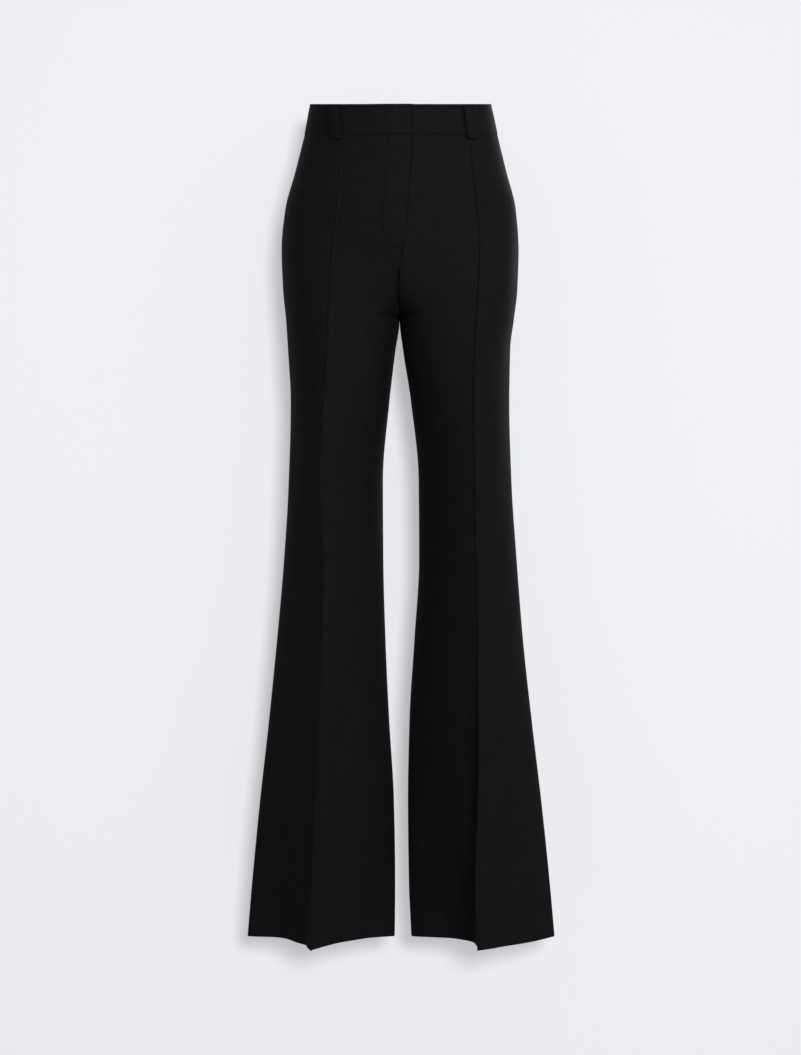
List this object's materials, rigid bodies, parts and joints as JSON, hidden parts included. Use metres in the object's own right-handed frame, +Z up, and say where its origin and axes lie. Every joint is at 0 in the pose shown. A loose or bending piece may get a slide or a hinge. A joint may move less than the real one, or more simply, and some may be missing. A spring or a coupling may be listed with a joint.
{
  "type": "flared trousers",
  "caption": "High-waisted flared trousers in black cloth with stitched front creases, a fly front, a waistband and belt loops, filled out as when worn.",
  "frame": {"origin": "middle of the waist's top edge, level with the side seams, where the wearer's waist holds the trousers", "axes": "+Z up along the body, the front faces -Y, +X is the wearer's left"},
  "size_m": [0.4121, 0.244, 1.121],
  "materials": {
    "cloth": "matte fine wool twill"
  },
  "bodies": {
    "root": {"front_right": "cloth", "front_left": "cloth", "back_right": "cloth", "back_left": "cloth", "waistband_front_right": "cloth", "waistband_front_left": "cloth", "waistband_back": "cloth", "belt_loop_front_right": "cloth", "belt_loop_front_left": "cloth", "belt_loop_back_right": "cloth", "belt_loop_back_left": "cloth", "belt_loop_centre_back": "cloth"}
  },
  "joints": []
}
